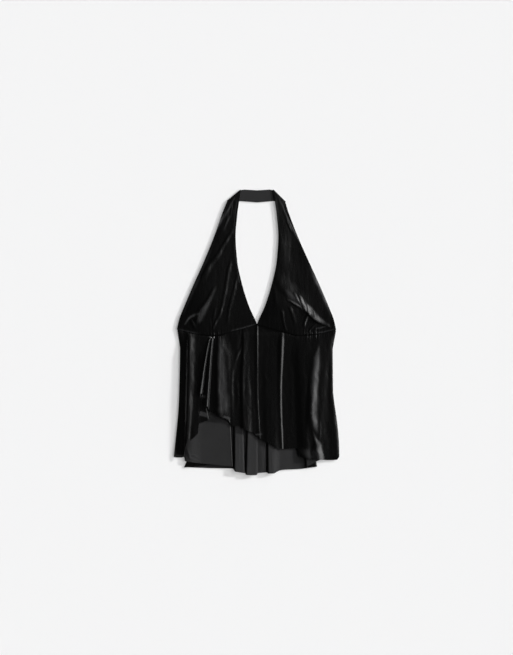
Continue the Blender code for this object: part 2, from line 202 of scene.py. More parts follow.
# Pleat and flute lines of the back skirt, from the wearer's right to the left. They run straight
# from the yoke line, a little below the top edge, to the hem.
Pleat = namedtuple("Pleat", "top yoke hem hem_y lift_yoke lift_hem")
BACK = [
    Pleat(-167, -161, -174, -260, 0, 0),                            # side edge
    Pleat(-158, -152, -163, -262, 0.3, 0.8),
    Pleat(-151, -146, -152.5, -262.5, 1.8, 2.6),
    Pleat(-148, -143, -151, -270.5, 2.6, 3.6),
    Pleat(-142, -138, -139, -272.5, 3.3, 4.8),
    Pleat(-120, -112, -116, -275.5, 2.9, 2.8),                      # upper layer
    Pleat(-75, -66, -54, -281.5, 4.2, 4.4),
    Pleat(-73, -63.5, -50.5, -282, 3.4, 3.6),                       # its folded edge
    Pleat(-71, -62, -54, -282, 2.6, 2.8),
    Pleat(-68, -60, -100, -279.5, 2.0, 2.0),                        # middle layer, turned
    Pleat(-66, -58, -150, -284, 1.5, 1.5),
    Pleat(-64, -56.5, -152.5, -284, 0.75, 0.75),                    # its folded edge
    Pleat(-62, -55, -150, -283.5, 0, 0),
    Pleat(-60, -53, -100, -285.6, 0, 0),                            # lowest layer
    Pleat(-55, -49.5, -52, -286.4, 0, 0),
    Pleat(-50, -48, -47.8, -289.5, 0, 0.9),
    Pleat(-46, -46, -46, -292, 0.4, 6.4),                           # first flute
    Pleat(-38, -40, -36, -294, 0.2, 5.6),
    Pleat(-30, -36.5, -27, -295.5, 0, 4.6),
    Pleat(-28, -35, -24.8, -296, 0, 0.8),
    Pleat(-20, -16.5, -23.6, -298, 0, 1.0),
    Pleat(-16, -14.5, -21.6, -299.5, 0.3, 6.0),                     # second flute
    Pleat(-8, -8, -10, -300, 0.2, 5.0),
    Pleat(-2, -1, -0.5, -299.5, 0, 4.2),
    Pleat(0.8, 1, 1.5, -296, 0, 3.0),
    Pleat(7, 7, 9, -295, 0, 3.6),
    Pleat(14, 13, 17, -294.6, 0, 3.4),
    Pleat(16, 16, 20, -294.6, 0, 0.7),
    Pleat(20, 19, 22.4, -295.5, 0, 0.9),
    Pleat(23, 22, 24.4, -296.5, 0.3, 6.2),                          # third flute
    Pleat(32, 33, 34, -296.5, 0.2, 5.4),
    Pleat(40, 43, 42, -293, 0, 2.6),
    Pleat(50, 52, 48, -290.3, 0, 1.2),
    Pleat(60, 60, 60, -288.8, 0, 0.8),
    Pleat(76, 72, 85, -288, 0, 0),                                  # lowest layer
    Pleat(81, 79, 123.5, -283, 0, 0),
    Pleat(83, 80.5, 126, -282.6, 0.75, 0.75),                       # its folded edge
    Pleat(85, 82, 123.5, -282.6, 1.5, 1.5),
    Pleat(88, 85, 115, -283.4, 1.8, 1.8),                           # middle layer, turned
    Pleat(91, 88, 106.5, -284, 2.1, 2.1),
    Pleat(93, 89.5, 103.5, -284, 2.85, 2.85),                       # its folded edge
    Pleat(95, 92, 106.5, -281, 3.6, 3.6),
    Pleat(120, 112, 117, -276, 3.3, 3.6),                           # upper layer
    Pleat(150, 144, 126.5, -270.5, 2, 3),
    Pleat(158, 150.5, 148, -263, 0.3, 0.8),
    Pleat(166, 158.8, 172, -260, 0, 0),                             # side edge
]
BACK_STATIONS = [0, 0.15, 1]            # how far down top, yoke and hem are, as shares

# Where the upper layer of the pleat on the wearer's right turns under, so that its velvet shows, and
# where, before the fold, the dark velvet is blended into its knit as painted shade: the place along
# the table's rows from which it turns, over how many rows, and what share of the turn.
Turn = namedtuple("Turn", "place over share")
PLEAT_TURNS_AND_SHADE = [Turn(5.85, 0.3, 0.6), Turn(6.3, 0.6, 0.4)]
PLEAT_BACK = Turn(9, 0.4, 1)            # where it has turned back


def curves(kind, rows):
    """Curves through spots, whose numbers are given the names of their columns."""
    return [[kind(*spot) for spot in curve] for curve in rows]


# A crease is a curve through the spots where it shines: how wide its lit side and its shaded side
# are there and how high it stands.
Spot = namedtuple("Spot", "x y lit shade height")
RIGHT_CUP_CREASES = curves(Spot, [
    # from the strap down across the cup
    [(-48, 214, 5, 5, 0), (-54.5, 204, 6, 5, 1.2), (-67, 182, 6, 5, 1.2),
     (-77.6, 163, 7.5, 5, 1.35), (-90, 146, 9.5, 6, 1.9), (-104, 122, 12, 7, 2.2),
     (-118, 96, 12, 7, 0)],
    # the long one into the pinch
    [(-51.5, 153, 5, 4, 0), (-53.6, 141, 6, 4, 0.8), (-58.7, 119, 6.5, 5, 1.0),
     (-64, 89, 6.5, 5, 0.95), (-68, 64, 6, 4, 0.95), (-73, 46, 5, 4, 1.0), (-81, 27, 5, 4, 1.2),
     (-88, 13, 4, 3, 1.2), (-91.5, 1, 4, 3, 0)],
    [(-38, 121, 4, 3, 0), (-41, 110, 4.5, 3, 0.7), (-47, 83, 6.5, 4, 0.85),
     (-53.4, 56, 6.5, 4, 0.9), (-57.6, 35, 6, 4, 0.85), (-60, 12, 5, 4, 0)],
    # the broad one to the outer corner
    [(-82, 99, 6, 5, 0), (-87, 89, 7, 5, 0.7), (-94.8, 74, 9, 5, 1.5), (-105, 56, 11, 6, 2.3),
     (-112.5, 42, 14, 6, 3.2), (-119, 29, 12, 6, 2.4), (-125, 15, 6, 5, 0)],
    [(-138, 30, 4, 3, 0), (-136, 26, 4, 3, 0.9), (-132, 18, 4, 3, 1.0), (-127, 6, 3, 3, 0)],
    [(-84, 54, 4, 3, 0), (-86, 47, 4, 3, 0.5), (-90, 22, 4, 3, 0.6), (-91, 3, 3, 3, 0)],
    [(-97, 30, 3, 3, 0), (-96, 16, 3, 3, 0.5), (-94, -2, 3, 3, 0)],
    # gathers under the strap's fold
    [(-52, 280, 3, 3, 0), (-55, 275, 4, 3, 0.8), (-69, 249, 4, 3, 1.0), (-75, 236, 4, 3, 0)],
    [(-48, 282, 3, 3, 0), (-51, 270, 4, 3, 0.6), (-65, 240, 5, 4, 0.7), (-70, 226, 5, 4, 0)],
    [(-58, 246, 4, 4, 0), (-61, 236, 5, 4, 0.6), (-66, 222, 4, 4, 0)],
    [(-46, 284, 3, 2, 0), (-48, 262, 3, 2, 0.5), (-50, 240, 3, 2, 0)],
])
LEFT_CUP_CREASES = curves(Spot, [
    # the soft slope over the bright one
    [(46, 126, 20, 14, 0), (60, 104, 26, 14, 1.6), (82, 88, 28, 12, 2.0), (104, 66, 22, 10, 1.2),
     (118, 48, 12, 6, 0)],
    # strands that run into it
    [(60, 78, 4, 3, 0), (67, 66.5, 4, 3, 0.8), (73, 63.5, 4.5, 2.6, 1.1),
     (80.5, 59.5, 5, 2.6, 1.3), (91.5, 53.5, 5, 2.6, 1.5), (101.5, 46, 6, 2.6, 1.4),
     (104.5, 39, 6, 2.6, 0)],
    [(78, 84, 4, 3, 0), (80.7, 79.5, 4, 3, 0.7), (86.8, 67, 4, 3, 1.0), (92.5, 59, 4, 3, 0.8),
     (96, 54, 4, 3, 0)],
    [(88.5, 80, 4, 3, 0), (91.5, 75, 5, 3, 0.9), (97, 62, 6, 3, 1.3), (101.7, 51, 6, 3, 1.2),
     (104, 43, 6, 3, 0)],
    # the broad bright one to the side seam
    [(97, 62, 10, 3, 0), (104, 54, 14, 3, 2.4), (112.5, 45, 17, 3, 3.9), (121, 35.5, 16, 3, 3.9),
     (129, 28, 13, 3, 3.0), (137, 23.5, 11, 3, 2.2), (148, 16, 8, 3, 1.5), (157, 10, 6, 3, 0)],
    [(104, 60, 3, 3, 0), (107, 54, 3, 2, 0.6), (108, 44, 3, 2, 0.5), (107, 38, 3, 3, 0)],
    [(116, 50, 3, 3, 0), (120, 42, 3, 2, 0.25), (122, 33, 3, 2, 0.25), (121, 27, 3, 3, 0)],
    [(113.5, 40, 4, 5, 0), (111.5, 37, 4, 5, 0.9), (106, 29, 4, 5, 1.3), (102, 18, 4, 5, 1.2),
     (99.5, 6, 4, 5, 0)],
    [(53, 50, 4, 4, 0), (54.7, 41, 5, 4, 0.8), (57, 26, 5, 4, 1.0), (61, 9.5, 4, 4, 0.8),
     (63, 1, 4, 4, 0)],
    [(70, 56, 5, 4, 0), (72.5, 49.5, 6, 4, 0.8), (78.5, 32, 7, 4, 1.0), (82, 15, 5, 4, 0)],
    [(38, 102, 6, 5, 0), (40, 89, 6, 5, 0.5), (42, 62, 6, 5, 0.4), (43, 48, 6, 5, 0)],
    # gathers on the seam
    [(109, -3, 3, 2.4, 0), (112, 3, 3, 2.4, 0.8), (118, 11, 3, 2.4, 0.8), (126, 16, 3, 2.4, 0)],
    [(100, -4, 3, 2.4, 0), (101, 4, 3, 2.4, 0.5), (104, 10, 3, 2.4, 0)],
    [(120, 0, 3, 2.4, 0), (123, 5, 3, 2.4, 0.6), (128, 9, 3, 2.4, 0)],
    # along the strap's outer edge
    [(54, 260, 3.5, 3, 0), (60, 246, 3.5, 3, 0.2), (66, 233, 3.5, 3, 0.35),
     (73, 216, 3.5, 3, 0.4), (78, 205, 3, 3, 0)],
    [(60, 238, 3, 2.4, 0), (66, 226, 3, 2.4, 0.3), (71, 215, 3, 2.4, 0.35), (73, 210, 3, 2.4, 0)],
    [(48, 278, 3, 2.4, 0), (52, 266, 3, 2.4, 0.5), (60, 250, 3, 2.4, 0)],
    [(42, 284, 3, 2.4, 0), (44, 266, 3, 2.4, 0.4), (46, 244, 3, 2.4, 0)],
    [(58, 214, 26, 20, 0), (60, 180, 28, 20, 1.2), (62, 128, 28, 20, 0)],
])
FRONT_CREASES = curves(Spot, [
    # where the broad crest rises again
    [(116, -204, 4, 3, 0), (119, -213, 4, 3, 0.4), (123, -224, 6, 4, 0.9),
     (128.5, -232, 11, 8, 2.0), (132, -244, 15, 13, 3.0), (133.5, -257, 15, 15, 3.3),
     (134, -274, 15, 15, 3.4), (134, -286, 15, 15, 0)],
    # a strand beside it, then broad soft ones between the crests
    [(118, -240, 3, 2.6, 0), (118, -254, 3, 2.6, 0.8), (118, -266, 3, 2.6, 0)],
    [(106, -60, 9, 9, 0), (102, -120, 9, 9, 0.7), (96, -180, 9, 9, 0)],
    [(22, -40, 8, 8, 0), (20, -110, 8, 8, 0.5), (18, -180, 8, 8, 0)],
    [(76, -30, 9, 9, 0), (78, -110, 9, 9, 0.6), (78, -200, 9, 9, 0)],
    # beside the flutes
    [(-87, -8, 3, 3, 0), (-85, -40, 3, 3, 0.6), (-84, -70, 3, 3, 0)],
    # slanting into the low crest
    [(-26, -22, 5, 4, 0), (-36, -44, 5, 4, 0.9), (-47, -68, 5, 4, 0)],
    [(-39, -80, 6, 5, 0), (-38, -130, 6, 5, 0.7), (-38, -180, 6, 5, 0)],
    # under the outer flute
    [(-111, -136, 2.6, 2, 0), (-112, -148, 2.6, 2, 0.6), (-113, -160, 2.6, 2, 0)],
])
BACK_CREASES = curves(Spot, [
    # the left pleat's lower corner
    [(-145, -262, 3, 2.4, 0), (-131, -266, 3, 2.4, 0.8), (-117, -272, 3, 2.4, 0)],
    [(-143, -254, 3, 2.4, 0), (-130, -259, 3, 2.4, 0.7), (-117, -266, 3, 2.4, 0)],
    [(-145, -240, 4, 3, 0), (-141, -255, 4, 3, 0.9), (-137, -270, 4, 3, 0)],
    # on and beside the flutes
    [(-37, -210, 2, 1.6, 0), (-37, -250, 2, 1.6, 0.4), (-37, -292, 2, 1.6, 0)],
    [(-30, -215, 2, 1.4, 0), (-29, -255, 2, 1.4, 0.4), (-28, -294, 2, 1.4, 0)],
    [(10, -240, 2, 1.6, 0), (11.5, -267, 2, 1.6, 0.4), (13, -294, 2, 1.6, 0)],
    [(32, -245, 3, 2, 0), (33, -270, 3, 2, 0.4), (34, -294, 3, 2, 0)],
])

# Strokes where the cloth's colour is painted paler, mostly as painted highlights: how wide each is
# and how pale.
Stroke = namedtuple("Stroke", "x y width pale")
CUP_STROKES = curves(Stroke, [
    # the arc over the right cup's corner
    [(-152, 14, 2.6, 0), (-149.5, 18.5, 3, 0.5), (-143.5, 27, 3.8, 0.7), (-135, 33.5, 5, 0.8),
     (-126, 37.5, 5, 0.6), (-116, 40, 5, 0)],
    # the broad crease beside it
    [(-87, 89, 4, 0), (-95, 74, 6, 0.15), (-105, 56, 9, 0.25), (-113, 41, 13, 0.32),
     (-119.5, 29, 11, 0.3), (-125, 17, 7, 0)],
    # between the strands of the left cup
    [(60, 92, 8, 0), (67, 79, 10, 0.3), (79, 71, 12, 0.42), (90, 62, 14, 0.6),
     (99, 53, 14, 0.65), (109, 47, 12, 0.42), (122, 33, 11, 0.3), (136, 22, 8, 0.3),
     (148, 14, 6, 0)],
    [(65, 70, 2, 0), (73, 65, 3, 0.5), (81, 60.5, 3.6, 0.8), (92, 54, 4.4, 1), (102, 46, 5.4, 1),
     (105, 39, 4, 0)],
    [(116, 36, 5, 0), (122, 29, 7, 0.6), (129, 24.5, 6, 0.5), (135, 21, 5, 0)],
    # the rim of its outer edge
    [(110, 143, 6, 0), (119, 123, 8, 0.35), (126, 108, 9, 0.75), (134, 92, 9, 0.85),
     (141, 76, 8, 0.7), (148, 59, 7, 0.5), (154, 42, 6, 0.3), (159, 30, 5, 0)],
    # the right cup's neck edge
    [(-48, 196, 2, 0), (-46, 168, 2, 0.2), (-42, 140, 2, 0.2), (-37.5, 108, 2.4, 0.35),
     (-36, 102, 2, 0)],
    # over the left cup's side seam
    [(124, 8, 2.4, 0), (130, 8, 2.6, 0.3), (143, 11.5, 2.6, 0.3), (149, 10, 2, 0)],
    # the rim of the right cup's outer edge
    [(-87, 193, 3, 0), (-105, 152, 4, 0.12), (-123, 110, 5, 0.22), (-135, 84, 5, 0.2),
     (-145, 61, 4, 0.15), (-155, 37, 3, 0.1)],
    # the rim of the right strap, and gathers in it
    [(-66, 252, 3, 0), (-70.5, 243, 4, 0.5), (-74.5, 236, 4.5, 0.9), (-79, 226, 4, 0.7),
     (-84, 215, 3, 0.3), (-88, 206, 3, 0)],
    [(-49, 276, 3, 0), (-53, 268, 3, 0.3), (-65, 249, 3.6, 0.45), (-73, 234, 4, 0.3),
     (-78, 224, 3, 0)],
    [(-45, 284, 3, 0), (-49, 277, 3, 0.3), (-57, 263, 3, 0.3), (-63, 250, 3, 0)],
    [(-54, 248, 3, 0), (-58, 240, 3, 0.22), (-65, 224, 3.6, 0.25), (-70, 208, 3, 0)],
    [(-41, 280, 2, 0), (-43, 268, 2, 0.22), (-46, 245, 2, 0.22), (-48, 218, 2, 0.18),
     (-48, 200, 2, 0)],
    [(-49, 280, 2, 0), (-51, 266, 2, 0.25), (-54, 244, 2, 0.15), (-55, 236, 2, 0)],
    # and in the left one
    [(44, 290, 3, 0), (47, 280, 3.4, 0.2), (53, 266, 3.4, 0.3), (58.5, 253, 2.6, 0.35),
     (65, 239, 2, 0.5), (72, 224, 1.9, 1), (77, 213.5, 2.2, 1), (81.5, 205, 3, 0.7),
     (87, 193, 3, 0.35), (93, 180, 3, 0)],
    [(40, 280, 3, 0), (41, 272, 3, 0.16), (43.5, 245, 3, 0.16), (45, 218, 3, 0)],
    [(54, 280, 5, 0), (58, 271, 6, 0.2), (62, 260, 5, 0)],
    # the neckband's knit, painted a little paler
    [(-36, 287, 26, 0.1), (0, 287, 26, 0.12), (36, 287, 26, 0.1)],
])
FRONT_STROKES = curves(Stroke, [
    # the lower corner over the wearer's right hip
    [(-169, -185, 3, 0), (-171, -210, 4, 0.35), (-172.5, -235, 5, 0.5), (-173.5, -258, 5, 0.5)],
    [(-173, -259, 4, 0), (-168, -259.5, 5, 0.5), (-160, -260.5, 5, 0.5), (-152, -260, 4, 0.4)],
    # the wide crest
    [(-75, -12, 11, 0), (-74.5, -30, 12, 0.12), (-73.5, -60, 15, 0.2), (-72, -100, 17, 0.22),
     (-69.5, -140, 20, 0.25), (-69.5, -160, 22, 0.25), (-69.5, -173, 20, 0)],
    # the broad crest, where it rises again, and the strand beside it
    [(129.5, -26, 2, 0), (128.5, -40, 6, 0.35), (126, -58, 11, 0.6), (122.7, -95, 14, 0.45),
     (120.7, -135, 13, 0.35), (119.3, -162, 11, 0.35), (119.5, -176, 9, 0.45),
     (122, -191, 8, 0.7), (124.5, -203, 7, 0.3), (127, -214, 5, 0)],
    [(119, -208, 3, 0), (123, -224, 5, 0.25), (129, -233, 9, 0.35), (132, -245, 12, 0.4),
     (133.5, -258, 11, 0.4), (134, -276, 10, 0.3)],
    [(133.5, -184, 1.8, 0), (133.5, -194, 2.2, 0.35), (133.5, -212, 2.2, 0.4), (133, -228, 2, 0)],
    # where the hem turns towards the broad crest
    [(90, -242, 8, 0), (99, -251, 14, 0.2), (110, -256, 18, 0.3), (120, -258, 16, 0.3),
     (130, -262, 12, 0.1)],
    # the turned edge below the outer flute, painted paler although it lies in shade
    [(-118, -134.4, 3, 0), (-115, -134.4, 4.5, 1), (-109.5, -134.8, 4.5, 1),
     (-106.5, -135, 3, 0)],
])
BACK_STROKES = curves(Stroke, [
    # painted highlight on the right pleat's lower corner
    [(100, -266, 8, 0), (108, -270, 9, 0.6), (119, -271, 8, 0.75), (125, -267, 6, 0.6)],
])

# Where the front's hem has curled over so that its knit shows: a band from one end to the other.
Curl = namedtuple("Curl", "x0 y0 x1 y1 width")
CURLS = [
    Curl(-119, -134.6, -108.5, -134.6, 3.6),            # below the outer flute
    Curl(-108.5, -161.6, -103.5, -161.6, 3.2),          # below the inner one
    Curl(-121, -170, -94, -176.5, 9),                   # foot of the cascade
    Curl(-70.5, -176.5, -56, -181.5, 4.6),
    Curl(-4, -215.5, 11.5, -213.5, 2.6),                # below the centre crest
]

# Where light catches the stitches of the underbust seam: the middle and half the length.
SeamLight = namedtuple("SeamLight", "centre reach")
SEAM_LIGHTS = [SeamLight(-144, 20), SeamLight(-28, 25), SeamLight(144, 20)]

# Where the cloth is gathered into the seam: the middle, how far the gathers spread and how high.
Puckers = namedtuple("Puckers", "centre spread height")
PUCKERS = [Puckers(-91, 14, 1.1), Puckers(112, 16, 1.0), Puckers(0, 220, 0.25)]

# What each piece is cut from, in metres and square metres: its pleats and flutes opened out.
Cut = namedtuple("Cut", "flat area")

# Light, view and surface.
SUN_HEIGHT = 15.0          # degrees above the surface
SUN_TURN = 24.0            # degrees from +X towards +Y that it comes from
SUN_STRENGTH = 5.05
SUN_SIZE = 4.0             # degrees
SKY = 0.08                 # strength of the even sky, and of the glow at its lit side
SIDE_GLOW = 7.6
SKY_TURN = 15.0            # degrees from +X towards +Y that the lit side is
GLOW_RISE = (0.5, 0.8)     # where the lit side of the room begins and ends, by how far aside
GLOW_FALL = (0.84, 0.95)
FLOOR_SHADE = 0.55         # how pale the surface is, and how much it glows, as a light table does
FLOOR_GLOW = 0.32
VIEW_HEIGHT = 2.5          # metres
VIEW_TALL = 1.3755         # how much of the surface the view takes in, along Y
VIEW_CENTRE = (-0.00095, 0.0095)
SENSOR = 36.0


def curve_through(stations, values, at):
    """Values at the places `at` on curves through the stations, which never overshoot: a slope is
    the harmonic mean of its neighbours' slopes, or level where they differ in sign."""
    stations, values, at = (np.asarray(each, float) for each in (stations, values, at))
    step = np.diff(stations)
    step = step.reshape((-1,) + (1,) * (values.ndim - 1))
    rise = np.diff(values, axis=0) / step
    slope = np.concatenate([rise[:1], np.zeros_like(rise[1:]), rise[-1:]])
    before, after = rise[:-1], rise[1:]
    same_way = before * after > 0
    total = np.where(same_way, before + after, 1)
    slope[1:-1] = np.where(same_way, 2 * before * after / total, 0)
    left = np.clip(np.searchsorted(stations, at, side="right") - 1, 0, len(stations) - 2)
    width = step[left]
    t = ((at - stations[left]) / step.reshape(-1)[left]).reshape((-1,) + (1,) * (values.ndim - 1))
    return (
        (1 + 2 * t) * (1 - t) ** 2 * values[left]
        + t * (1 - t) ** 2 * width * slope[left]
        + t**2 * (3 - 2 * t) * values[left + 1]
        + t**2 * (t - 1) * width * slope[left + 1]
    )


def seam_y(x):
    """Height of the underbust seam at x."""
    return curve_through(
        [p.x for p in UNDERBUST], [p.y for p in UNDERBUST], np.abs(np.ravel(x))
    ).reshape(np.shape(x))


def column(rows, name, places):
    """One column of a table as a curve through its rows."""
    return curve_through(range(len(rows)), [getattr(row, name) for row in rows], places)


def even_places(rows, names, count):
    """Places along the rows of a table, close together where the cloth turns and even in length
    elsewhere: the length run over at the named columns, plus a little for each row."""
    fine = np.linspace(0, len(rows) - 1, (len(rows) - 1) * 20 + 1)
    run = sum(np.abs(np.diff(column(rows, name, fine))) for name in names)
    run = np.concatenate([[0], np.cumsum(run + LEAST_RUN)])
    return np.interp(np.linspace(0, run[-1], count), run, fine)


def soft_step(t):
    """0 below 0, 1 above 1, and 3t^2 - 2t^3 between."""
    t = np.clip(t, 0, 1)
    return t * t * (3 - 2 * t)


def along_curve(spots, x, y):
    """Places measured from the curve through a list of spots: how far to its lit side each is, how
    far it has run along, and the spots' other columns there."""
    light = np.array([math.cos(math.radians(SUN_TURN)), math.sin(math.radians(SUN_TURN))])
    curve = np.stack([
        column(spots, name, np.linspace(0, len(spots) - 1, 12 * len(spots)))
        for name in spots[0]._fields
    ])
    along = np.gradient(curve[:2], axis=1)
    step = np.linalg.norm(along, axis=0)
    along /= step
    over = np.stack([-along[1], along[0]])
    over *= np.sign(light @ over[:, over.shape[1] // 2])
    nearest = np.argmin((x[:, None] - curve[0]) ** 2 + (y[:, None] - curve[1]) ** 2, axis=1)
    ahead = (x - curve[0, nearest]) * along[0, nearest] + (y - curve[1, nearest]) * along[1, nearest]
    at = nearest + ahead / step[nearest]
    every = np.arange(curve.shape[1])
    beyond = (at < 0) | (at > every[-1])
    near_x, near_y, *rest = (np.interp(at, every, values) for values in curve)
    side = np.stack([np.interp(at, every, values) for values in over])
    aside = (x - near_x) * side[0] + (y - near_y) * side[1]
    return aside, at * step.mean(), beyond, rest


def near_curve(spots, widest, x, y):
    """Which places lie within twice the widest spot of the box round a curve's spots."""
    reach = 2 * widest
    xs, ys = [spot.x for spot in spots], [spot.y for spot in spots]
    return (
        (x > min(xs) - reach) & (x < max(xs) + reach)
        & (y > min(ys) - reach) & (y < max(ys) + reach)
    )


def creased(x, y, creases):
    """Height of the creases at places. Across one, the height falls from its crest by a soft step
    over the width of the lit side, whose middle is the spots' curve, and by another over the width
    of the shaded side. Sines make its place and its height uneven along it."""
    height = np.zeros_like(x)
    for spots in creases:
        near = near_curve(spots, max(spot.lit + spot.shade for spot in spots), x, y)
        aside, run, beyond, (lit, shade, tall) = along_curve(spots, x[near], y[near])
        aside += shade * (0.12 * np.sin(run / 9 + spots[0].x) + 0.05 * np.sin(run / 3.7))
        crest = lit / 2 + aside
        fall = np.where(crest > 0, soft_step(crest / lit), soft_step(-crest / shade))
        tall = np.where(beyond, 0, tall) * (1 + 0.15 * np.sin(run / 5.3 + spots[0].y))
        height[near] += tall * (1 - fall)
    return height


def painted_highlights(x, y, strokes):
    """How pale the cloth's colour is painted at places, as painted highlights: each stroke is palest
    along the curve through its spots and fades to either side, a little unevenly."""
    pale = np.zeros_like(x)
    for spots in strokes:
        near = near_curve(spots, max(spot.width for spot in spots), x, y)
        aside, run, beyond, (width, share) = along_curve(spots, x[near], y[near])
        aside += width * (0.08 * np.sin(run / 7 + spots[0].x) + 0.04 * np.sin(run / 2.9))
        across = np.exp(-((2 * np.abs(aside) / width) ** 3))
        pale[near] = np.maximum(pale[near], np.where(beyond, 0, share) * across)
    return pale


def ruffled(x, y):
    """Small unevenness from -1 to 1 that runs mostly down the cloth: products of warped sines."""
    down = np.sin(y / 7.9 + 1.7 * np.sin(x / 6.1) + 0.8 * np.sin(y / 23.0))
    across = np.sin(x / 2.3 + 2.1 * np.sin(y / 13.0 + x / 19.0) + 1.1 * np.sin(y / 5.1))
    wide = np.sin(x / 5.7 + 1.3 * np.sin(y / 17.0)) * np.sin(y / 12.3 + x / 9.0)
    return 0.5 * across * (0.6 + 0.4 * down) + 0.5 * wide


def puckered(x, from_seam):
    """Height of the small puckers where the gathered cloth meets the underbust seam: waves of
    uneven length across, which fade away from the seam and from each gathered spot."""
    waves = np.sin(x * 1.25 + 1.6 * np.sin(x * 0.19)) * np.sin(x * 0.41 + 0.7)
    reach = 9 + 4 * np.sin(x * 0.31)
    size = sum(p.height * np.exp(-(((x - p.centre) / p.spread) ** 2)) for p in PUCKERS)
    return size * waves * np.exp(-((from_seam / reach) ** 2)) * soft_step(from_seam / 2.5)


def back_surface(places, down):
    """Points of the back skirt's middle surface, shaped (down, across, 3). Row by row, x runs from
    the top edge to the yoke and on to the hem, y in proportion, and the lift likewise. Near the
    side edges x bows in by a parabola."""
    top_x = column(BACK, "top", places)
    to_side = np.abs(top_x) / BACK_HALF
    top_y = -BACK_DIP + (BACK_DIP + BACK_RISE) * to_side**4
    hem_y = column(BACK, "hem_y", places)
    below_yoke = np.clip((down - BACK_STATIONS[1]) / (1 - BACK_STATIONS[1]), 0, 1)[:, None]
    bow = SIDE_BOW * 4 * below_yoke * (1 - below_yoke) * np.sign(top_x) * to_side**6

    def straight(values):
        """Values between the stations, straight down each line."""
        return np.stack([np.interp(down, BACK_STATIONS, v) for v in np.transpose(values)], axis=1)

    x = straight([top_x, column(BACK, "yoke", places), column(BACK, "hem", places)]) - bow
    lift = straight(
        [0 * top_x, column(BACK, "lift_yoke", places), column(BACK, "lift_hem", places)]
    )
    y = top_y + (hem_y - top_y) * down[:, None]
    return np.stack([x, y, lift + SKIRT_WALL / 2], axis=2)


def drape_map(points):
    """Height of cloth laid over points: the highest point near each grid place, falling away at
    DRAPE_SLOPE past DRAPE_REACH, and never below the surface. Returns the grid's corner and it."""
    flat = points.reshape(-1, 3)
    low = flat[:, :2].min(axis=0) - 30
    size = ((flat[:, :2].max(axis=0) + 30 - low) / CELL).astype(int) + 1
    heights = np.full(size, -1e3)
    place = ((flat[:, :2] - low) / CELL).round().astype(int)
    np.maximum.at(heights, (place[:, 0], place[:, 1]), flat[:, 2])
    draped = np.full(size, SKIRT_WALL / 2)
    for i in range(-DRAPE_CELLS, DRAPE_CELLS + 1):
        for j in range(-DRAPE_CELLS, DRAPE_CELLS + 1):
            fall = DRAPE_SLOPE * max(0.0, CELL * math.hypot(i, j) - DRAPE_REACH)
            moved = np.roll(heights, (i, j), axis=(0, 1)) + SKIRT_WALL + LAYER_GAP - fall
            draped = np.maximum(draped, moved)
    for axis in (0, 1):
        for _ in range(2):
            draped = (np.roll(draped, 1, axis) + 2 * draped + np.roll(draped, -1, axis)) / 4
    return low, draped


def height_on(drape, x, y):
    """Height of a drape map at places, straight between its grid's values."""
    low, draped = drape
    gx, gy = (x - low[0]) / CELL, (y - low[1]) / CELL
    i = np.clip(gx.astype(int), 0, draped.shape[0] - 2)
    j = np.clip(gy.astype(int), 0, draped.shape[1] - 2)
    s, t = gx - i, gy - j
    return (
        draped[i, j] * (1 - s) * (1 - t)
        + draped[i + 1, j] * s * (1 - t)
        + draped[i, j + 1] * (1 - s) * t
        + draped[i + 1, j + 1] * s * t
    )


def front_surface(places, down, drape):
    """Points of the front skirt's middle surface: fold lines between the underbust seam and the
    hem, lifted off the drape map, with creases, puckers and a little unevenness. Below its middle
    x swings by a sine, out at the wearer's left side and in at the broad crest."""
    seam_x = column(FRONT, "seam", places)
    x = curve_through(
        FRONT_STATIONS,
        [seam_x] + [column(FRONT, name, places) for name in ("nip", "middle", "hem")],
        down,
    )
    nip = column(FRONT, "lift_nip", places)
    lift = curve_through(
        FRONT_STATIONS,
        [SEAM_LIFT * nip, nip, column(FRONT, "lift_middle", places),
         column(FRONT, "lift_hem", places)],
        down,
    )
    swing = np.sin(math.pi * np.clip((down - SWING_FROM) / (1 - SWING_FROM), 0, 1))[:, None]
    x += LEFT_FLARE * swing * np.clip((seam_x - FLARE_FROM) / FLARE_OVER, 0, 1)
    x -= CREST_SWING * swing * np.exp(-(((seam_x - SWING_CENTRE) / SWING_REACH) ** 2))
    fade = CREST_FADE * soft_step((down - FADE_FROM) / FADE_OVER)[:, None]
    lift *= 1 - fade * np.exp(-(((seam_x - FADE_CENTRE) / FADE_REACH) ** 4))
    top_y = seam_y(seam_x) + SEAM_TUCK
    y = top_y + (column(FRONT, "hem_y", places) - top_y) * down[:, None]
    from_seam = top_y - y
    z = height_on(drape, x, y) + lift
    z += creased(x, y, FRONT_CREASES) + puckered(x, from_seam) + RUFFLE * ruffled(x, y)
    z -= (z - SEAM_DEPTH) * (1 - soft_step(from_seam / SEAM_EASE))
    return np.stack([x, y, z], axis=2)


def curled(points):
    """How much of the front's pile shows at its points: none within a curl's band."""
    x, y = points[:, :, 0], points[:, :, 1]
    pile = np.ones_like(x)
    for c in CURLS:
        along = np.array([c.x1 - c.x0, c.y1 - c.y0], float)
        length = np.linalg.norm(along)
        along /= length
        run = (x - c.x0) * along[0] + (y - c.y0) * along[1]
        aside = np.abs((y - c.y0) * along[0] - (x - c.x0) * along[1]) * 2 / c.width
        band = soft_step((1 - aside) * c.width / 2 + 0.5)
        ends = soft_step(run / 1.5) * soft_step((length - run) / 1.5)
        pile -= np.minimum(pile, band * ends)
    return pile


